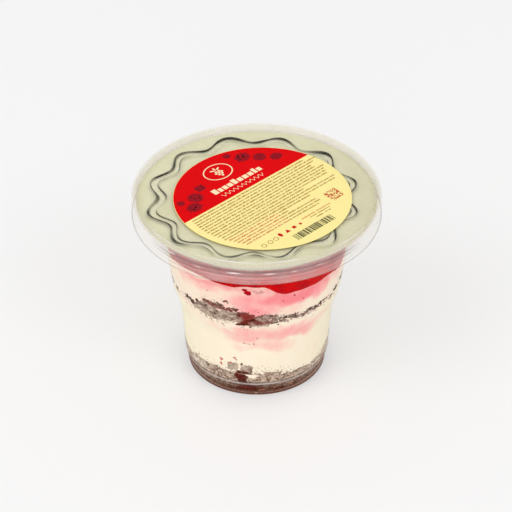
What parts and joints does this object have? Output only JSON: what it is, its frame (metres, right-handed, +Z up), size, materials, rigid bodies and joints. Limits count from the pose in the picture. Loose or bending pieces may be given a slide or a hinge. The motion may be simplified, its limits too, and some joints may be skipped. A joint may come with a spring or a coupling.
{
  "type": "cheesecake cup",
  "caption": "Clear lidded dessert cup filled with layered raspberry cheesecake, for grocery shelves, fridges and table scenes.",
  "frame": {"origin": "on the surface the cup stands on, at the middle of its base", "axes": "+Z up along the axis of the cup, +X to the right of the label as it is read, +Y towards its back"},
  "size_m": [0.1052, 0.1052, 0.086],
  "materials": {
    "cup_plastic": "clear",
    "lid_plastic": "clear",
    "label_paper": "satin print",
    "dark_crumb": "moist crumb",
    "cream": "smooth cream",
    "grey_crumb": "dry crumb",
    "pink_cream": "smooth cream",
    "jam": "wet",
    "top_cream": "smooth cream"
  },
  "bodies": {
    "root": {"cup": "cup_plastic", "lid": "lid_plastic", "label": "label_paper", "base_crumb": "dark_crumb", "lower_cream": "cream", "middle_crumb": "grey_crumb", "upper_cream": "pink_cream", "jam": "jam", "top_cream": "top_cream"}
  },
  "joints": []
}
